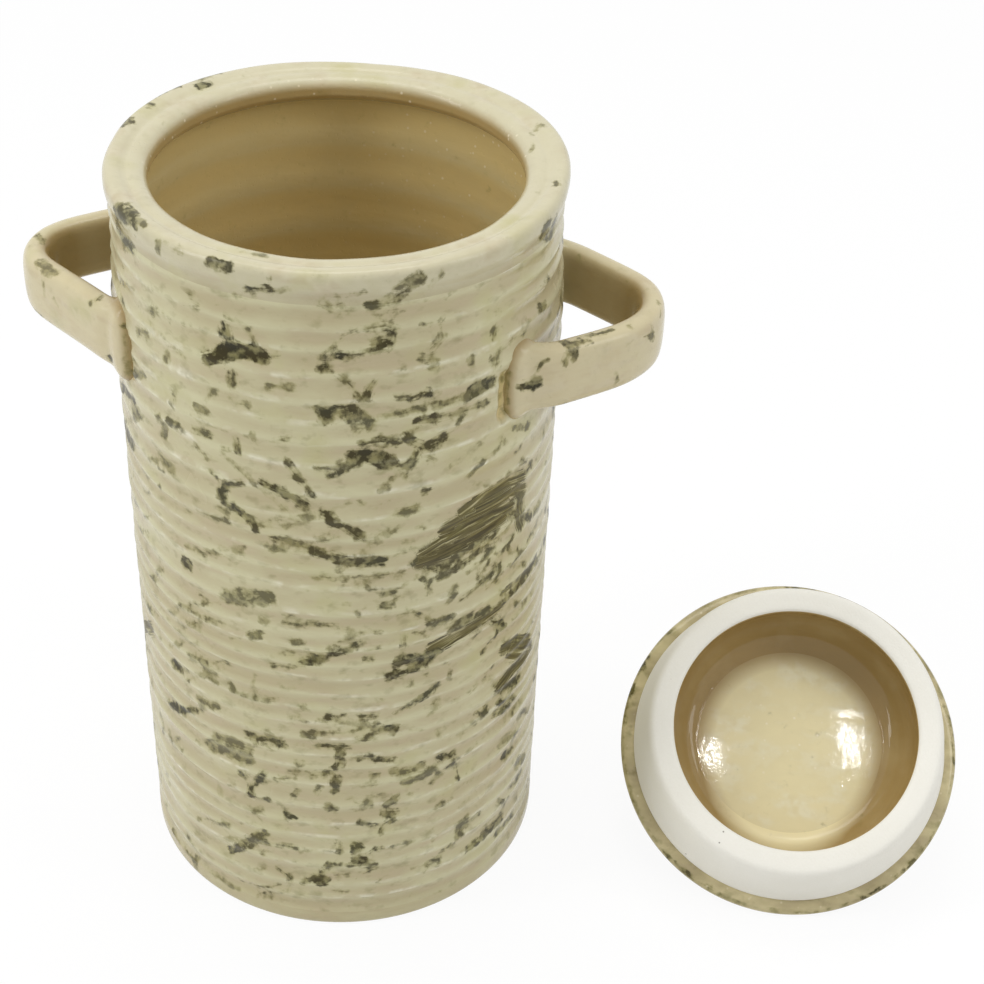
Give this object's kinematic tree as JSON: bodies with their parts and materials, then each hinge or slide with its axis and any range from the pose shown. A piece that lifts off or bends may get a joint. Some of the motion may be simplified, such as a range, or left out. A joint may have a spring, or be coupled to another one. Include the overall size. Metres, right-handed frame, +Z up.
{
  "type": "olive jar",
  "caption": "Straight stoneware jar with throwing rings, a rolled mouth rim, two strap handles and a loose knobbed lid lying upside down beside it.",
  "frame": {"origin": "middle of the jar's foot, on the table", "axes": "+Z up along the jar's axis; the two handles point along +X and -X; the loose lid lies on the +X side; -Y is the side the picture shows"},
  "size_m": [0.3214, 0.1394, 0.261],
  "materials": {
    "glaze": "glossy cream ash glaze over dark olive brush marks",
    "bare_clay": "matt unglazed pale clay"
  },
  "bodies": {
    "jar": {"jar_floor": "glaze", "jar_wall": "glaze", "mouth_rim": "glaze", "left_handle": "glaze", "right_handle": "glaze"},
    "lid": {"lid_dome": "glaze", "lid_flange": "bare_clay", "lid_knob": "glaze"}
  },
  "joints": [
    {"name": "lid_lift", "type": "slide", "parent": "jar", "child": "lid", "axis": [0.1736, 0, 0.9848], "range_m": [0, 0.3]}
  ]
}
